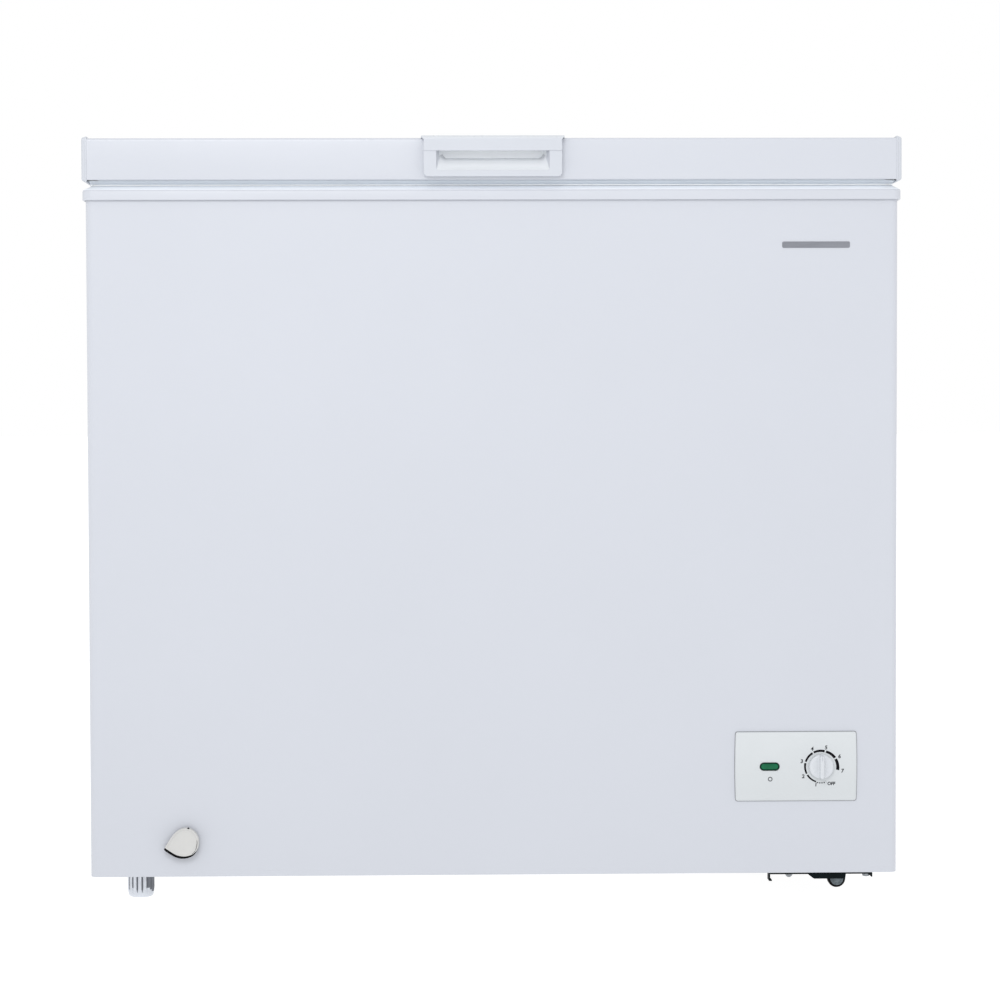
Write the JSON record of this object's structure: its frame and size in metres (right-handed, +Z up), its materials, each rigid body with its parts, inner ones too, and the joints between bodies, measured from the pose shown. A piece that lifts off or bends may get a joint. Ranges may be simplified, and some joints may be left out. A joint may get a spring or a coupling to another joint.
{
  "type": "chest freezer",
  "caption": "White chest freezer with a hinged insulated lid, recessed handle, thermostat dial, drain outlet, levelling feet, rear-bay compressor, embossed tank and sliding wire basket.",
  "frame": {"origin": "on the floor, under the middle of the freezer's bounding box", "axes": "+X to the viewer's right along the width, -Y towards the front with the handle, +Z up"},
  "size_m": [0.905, 0.55, 0.85],
  "materials": {
    "coated_steel": "smooth semi-gloss pre-coated white steel",
    "moulded_rim": "white moulded plastic, satin",
    "lid_plastic": "white moulded plastic, satin",
    "panel_plastic": "white moulded plastic, fine grain",
    "knob_plastic": "white moulded plastic, satin",
    "foot_plastic": "white moulded plastic",
    "drain_plastic": "white moulded plastic",
    "gasket_rubber": "soft grey magnetic seal",
    "dark_rubber": "black rubber",
    "stopper_rubber": "grey rubber",
    "zinc_steel": "bright zinc-plated steel",
    "galvanised_sheet": "galvanised sheet steel",
    "black_steel": "black paint, satin",
    "black_plastic": "black moulded plastic",
    "roller_plastic": "black moulded plastic",
    "liner_aluminium": "stucco-embossed coated aluminium",
    "tube_aluminium": "drawn aluminium tube",
    "tube_copper": "drawn copper tube, dull",
    "insulation_foam": "rigid polyurethane foam, cream",
    "lens_green": "translucent green lens",
    "lamp_housing": "moulded lamp body",
    "switch_housing": "moulded switch body",
    "badge_metal": "satin aluminium",
    "wire_coating": "white polythene coating on steel wire",
    "cable_sheath": "black sheath"
  },
  "bodies": {
    "cabinet": {"outer_wrap": "coated_steel", "rear_panel": "coated_steel", "base_pan": "galvanised_sheet", "bay_partition": "galvanised_sheet", "foam_insulation": "insulation_foam", "inner_liner": "liner_aluminium", "top_frame": "moulded_rim", "condenser_coil": "tube_copper", "evaporator_coil": "tube_aluminium", "drain_pipe": "drain_plastic", "drain_outlet": "drain_plastic", "control_panel": "panel_plastic", "thermostat": "switch_housing", "indicator_lens": "lens_green", "indicator_lamp": "lamp_housing", "name_plate": "badge_metal", "foot_brackets": "zinc_steel", "base_plate": "black_steel", "base_bolts": "zinc_steel", "roller_forks": "zinc_steel", "roller_axles": "zinc_steel", "compressor_lower_shell": "black_steel", "compressor_upper_shell": "black_steel", "compressor_feet": "black_steel", "compressor_grommets": "dark_rubber", "terminal_cover": "black_plastic", "filter_drier": "tube_copper", "capillary_tube": "tube_copper", "suction_line": "tube_copper", "discharge_line": "tube_copper", "wiring_harness": "cable_sheath", "cord_gland": "black_plastic", "rear_cover": "coated_steel", "cabinet_screws": "zinc_steel", "hinge_bases": "zinc_steel", "hinge_pins": "zinc_steel", "hinge_springs": "zinc_steel"},
    "lid": {"hinge_leaves": "zinc_steel", "lid_screws": "zinc_steel", "lid_skin": "coated_steel", "lid_liner": "lid_plastic", "lid_foam": "insulation_foam", "lid_gasket": "gasket_rubber", "lid_end_caps": "lid_plastic", "handle_body": "lid_plastic", "handle_hood": "lid_plastic"},
    "hinge_plungers": {"hinge_plungers": "black_plastic"},
    "knob": {"thermostat_knob": "knob_plastic", "thermostat_shaft": "zinc_steel"},
    "drain_spout": {"drain_spout": "drain_plastic"},
    "drain_dial": {"drain_dial": "drain_plastic"},
    "drain_plug": {"drain_plug": "stopper_rubber"},
    "front_foot_stud": {"foot_stud_front": "zinc_steel"},
    "front_foot": {"foot_cap_front": "foot_plastic"},
    "rear_foot_stud": {"foot_stud_rear": "zinc_steel"},
    "rear_foot": {"foot_cap_rear": "foot_plastic"},
    "front_roller": {"roller_front": "roller_plastic"},
    "rear_roller": {"roller_rear": "roller_plastic"},
    "basket": {"basket_frame": "wire_coating", "basket_mesh": "wire_coating"}
  },
  "joints": [
    {"name": "lid_hinge", "type": "hinge", "parent": "cabinet", "child": "lid", "pos_m": [0, 0.262, 0.811], "axis": [-1, 0, 0], "range_deg": [0, 80], "stiffness_Nm_per_rad": 5, "springref_deg": 126.05},
    {"name": "hinge_plunger_slide", "type": "slide", "parent": "cabinet", "child": "hinge_plungers", "axis": [0, 0, 1], "range_m": [0, 0.0041]},
    {"name": "knob_turn", "type": "hinge", "parent": "cabinet", "child": "knob", "pos_m": [0.3635, -0.265, 0.1505], "axis": [0, -1, 0], "range_deg": [-102, 208]},
    {"name": "drain_pull", "type": "slide", "parent": "cabinet", "child": "drain_spout", "axis": [0, -1, 0], "range_m": [0, 0.02]},
    {"name": "drain_dial_turn", "type": "hinge", "parent": "drain_spout", "child": "drain_dial", "pos_m": [-0.345, -0.265, 0.0716], "axis": [0, -1, 0], "range_deg": [0, 180]},
    {"name": "drain_plug_lift", "type": "slide", "parent": "cabinet", "child": "drain_plug", "axis": [0, 0, 1], "range_m": [0, 0.03]},
    {"name": "front_foot_drop", "type": "slide", "parent": "cabinet", "child": "front_foot_stud", "axis": [0, 0, -1], "range_m": [0, 0.009]},
    {"name": "front_foot_turn", "type": "hinge", "parent": "front_foot_stud", "child": "front_foot", "pos_m": [-0.399, -0.203, 0.015], "axis": [0, 0, 1], "range_deg": [0, 2166]},
    {"name": "rear_foot_drop", "type": "slide", "parent": "cabinet", "child": "rear_foot_stud", "axis": [0, 0, -1], "range_m": [0, 0.009]},
    {"name": "rear_foot_turn", "type": "hinge", "parent": "rear_foot_stud", "child": "rear_foot", "pos_m": [-0.399, 0.196, 0.015], "axis": [0, 0, 1], "range_deg": [0, 2166]},
    {"name": "front_roller_spin", "type": "hinge", "parent": "cabinet", "child": "front_roller", "pos_m": [0.3932, -0.173, 0.0102], "axis": [0, 1, 0], "continuous": true},
    {"name": "rear_roller_spin", "type": "hinge", "parent": "cabinet", "child": "rear_roller", "pos_m": [0.3932, 0.178, 0.0102], "axis": [0, 1, 0], "continuous": true},
    {"name": "basket_slide", "type": "slide", "parent": "cabinet", "child": "basket", "axis": [1, 0, 0], "range_m": [-0.5, 0.04]}
  ],
  "couplings": [
    {"joint": "hinge_plunger_slide", "follows": "lid_hinge", "m_per_rad": 0.0028648},
    {"joint": "front_foot_turn", "follows": "front_foot_drop", "rad_per_m": 4188.8},
    {"joint": "rear_foot_turn", "follows": "rear_foot_drop", "rad_per_m": 4188.8}
  ]
}
